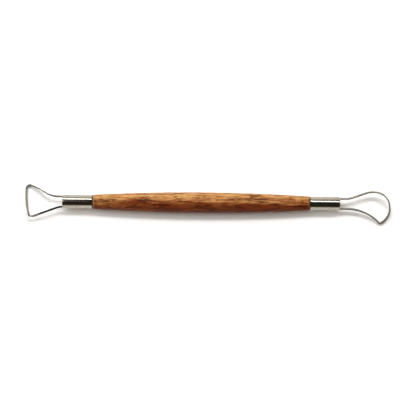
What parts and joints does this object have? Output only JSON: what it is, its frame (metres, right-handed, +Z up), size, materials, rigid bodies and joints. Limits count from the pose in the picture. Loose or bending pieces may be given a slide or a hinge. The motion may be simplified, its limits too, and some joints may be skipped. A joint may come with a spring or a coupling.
{
  "type": "double-ended loop tool",
  "caption": "Clay and wax modelling tool: a turned hardwood handle with a bent steel ribbon loop, one triangular and one pear-shaped, set in a metal ferrule at each end.",
  "frame": {"origin": "on the table under the middle of the handle, where the belly of the handle rests", "axes": "+X runs along the handle from the triangular loop to the pear-shaped loop, +Z is up off the table, and +Y is across the tool"},
  "size_m": [0.2038, 0.0209, 0.0114],
  "materials": {
    "wood": "satin varnish over open-pored reddish brown hardwood",
    "ferrule_metal": "plated and polished tube with faint lengthwise drawing lines",
    "ribbon_steel": "bright cold-rolled ribbon with burnished edges",
    "resin": "cured amber resin, slightly uneven face"
  },
  "bodies": {
    "root": {"handle": "wood", "left_ferrule": "ferrule_metal", "right_ferrule": "ferrule_metal", "triangle_loop": "ribbon_steel", "pear_loop": "ribbon_steel", "left_resin_plug": "resin", "right_resin_plug": "resin"}
  },
  "joints": []
}
